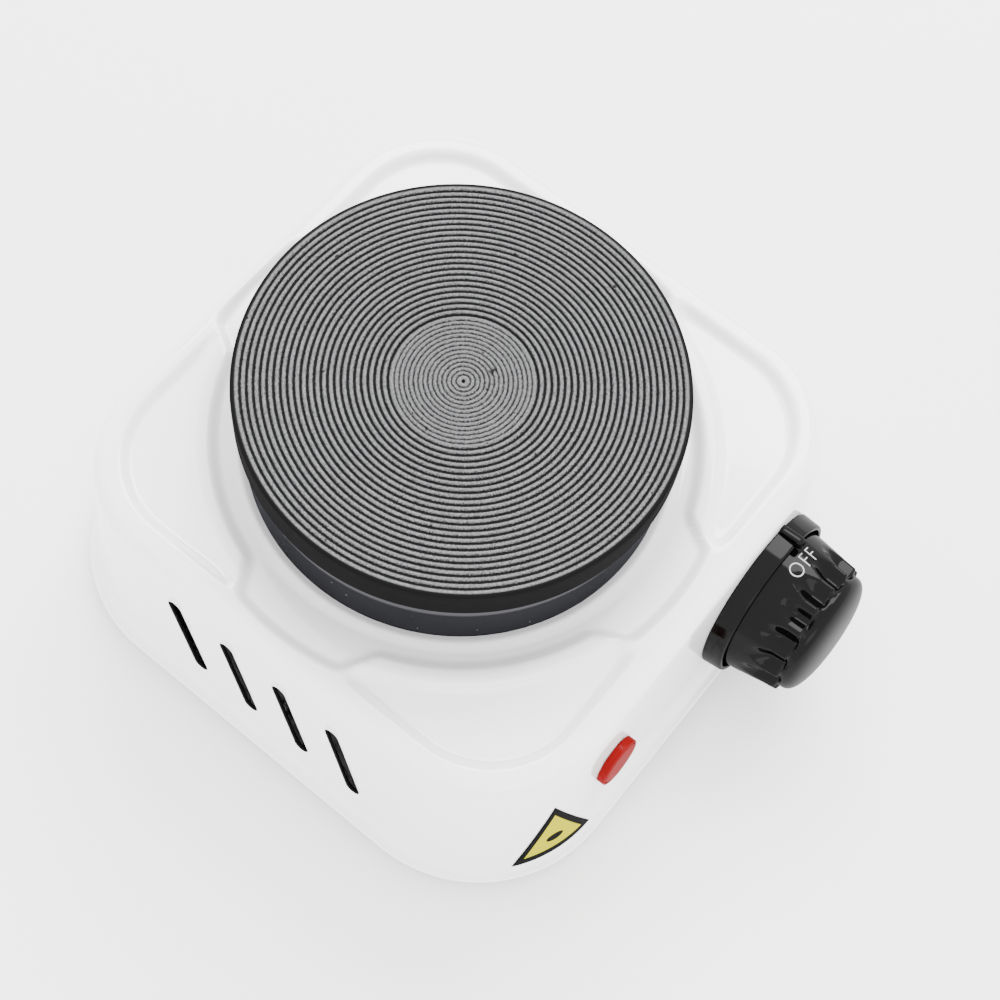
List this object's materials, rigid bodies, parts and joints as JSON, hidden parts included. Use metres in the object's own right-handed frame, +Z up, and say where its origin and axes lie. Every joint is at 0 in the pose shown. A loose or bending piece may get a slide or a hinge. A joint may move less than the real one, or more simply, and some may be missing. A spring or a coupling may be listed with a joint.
{
  "type": "hot plate burner",
  "caption": "Portable electric hot plate: round grooved cast-iron plate on a square white enamelled housing, with a thermostat knob and a red lamp.",
  "frame": {"origin": "centre of the whole object on the surface that the feet stand on", "axes": "+Z up, -Y the front with the knob and lamp, +X the user's right"},
  "size_m": [0.15, 0.1694, 0.082],
  "materials": {
    "white_enamel": "gloss enamel",
    "cast_iron": "machined and seasoned",
    "stainless_trim": "fine brushed",
    "zinc_steel": "zinc plated",
    "black_knob": "gloss",
    "red_lens": "gloss",
    "black_rubber": "matt",
    "ceramic": "unglazed",
    "resistance_wire": "oxidised",
    "aluminium_sheet": "mill finish",
    "brass": "plain",
    "black_bush": "fine grain",
    "terminal_nylon": "natural nylon",
    "bulb_glass": "clear",
    "wire_brown": "silicone sleeve",
    "wire_blue": "silicone sleeve",
    "wire_white": "silicone sleeve",
    "wire_green": "green and yellow sleeve"
  },
  "bodies": {
    "base": {"housing_deck": "white_enamel", "housing_front": "white_enamel", "housing_rear": "white_enamel", "housing_left": "white_enamel", "housing_right": "white_enamel", "housing_corner_front_left": "white_enamel", "housing_corner_front_right": "white_enamel", "housing_corner_rear_left": "white_enamel", "housing_corner_rear_right": "white_enamel", "bottom_cover": "zinc_steel", "foot_front_left": "black_rubber", "foot_front_right": "black_rubber", "foot_rear_left": "black_rubber", "foot_rear_right": "black_rubber", "cover_screws": "zinc_steel", "cover_brackets": "zinc_steel", "hob_plate": "cast_iron", "trim_ring": "stainless_trim", "element_filling": "ceramic", "heating_coil": "resistance_wire", "element_cover": "zinc_steel", "element_terminal_block": "ceramic", "plate_stud": "zinc_steel", "upper_stud_nut": "zinc_steel", "lower_stud_nut": "zinc_steel", "stud_washer": "zinc_steel", "hold_down_bridge": "zinc_steel", "heat_shield": "aluminium_sheet", "thermal_fuse": "aluminium_sheet", "fuse_strap": "zinc_steel", "knob_bezel": "black_knob", "spindle_bush": "brass", "bush_nut": "brass", "thermostat_bracket": "zinc_steel", "stack_insulators": "ceramic", "stack_rivet": "zinc_steel", "fixed_contact": "brass", "bimetal_blade": "zinc_steel", "lamp_lens": "red_lens", "lamp_clip": "zinc_steel", "lamp_bulb": "bulb_glass", "lamp_holder": "terminal_nylon", "cord_gland": "black_bush", "mains_terminal_block": "terminal_nylon", "terminal_screws": "brass", "earth_tag": "brass", "earth_screw": "zinc_steel", "wire_live": "wire_brown", "wire_switched": "wire_white", "wire_neutral": "wire_blue", "wire_lamp": "wire_white", "wire_earth": "wire_green"},
    "knob": {"control_knob": "black_knob", "knob_spring_clip": "zinc_steel", "thermostat_spindle": "zinc_steel"},
    "contact_arm": {"contact_arm": "brass"}
  },
  "joints": [
    {"name": "knob_turn", "type": "hinge", "parent": "base", "child": "knob", "pos_m": [0.0245, -0.06054, 0.03], "axis": [0, 0.9945, -0.1045], "range_deg": [0, 285]},
    {"name": "contact_swing", "type": "hinge", "parent": "base", "child": "contact_arm", "pos_m": [0.0135, -0.05472, 0.02939], "axis": [0, 0.1045, 0.9945], "range_deg": [0, 3]}
  ],
  "couplings": [
    {"joint": "contact_swing", "follows": "knob_turn", "ratio": 0.0105}
  ]
}
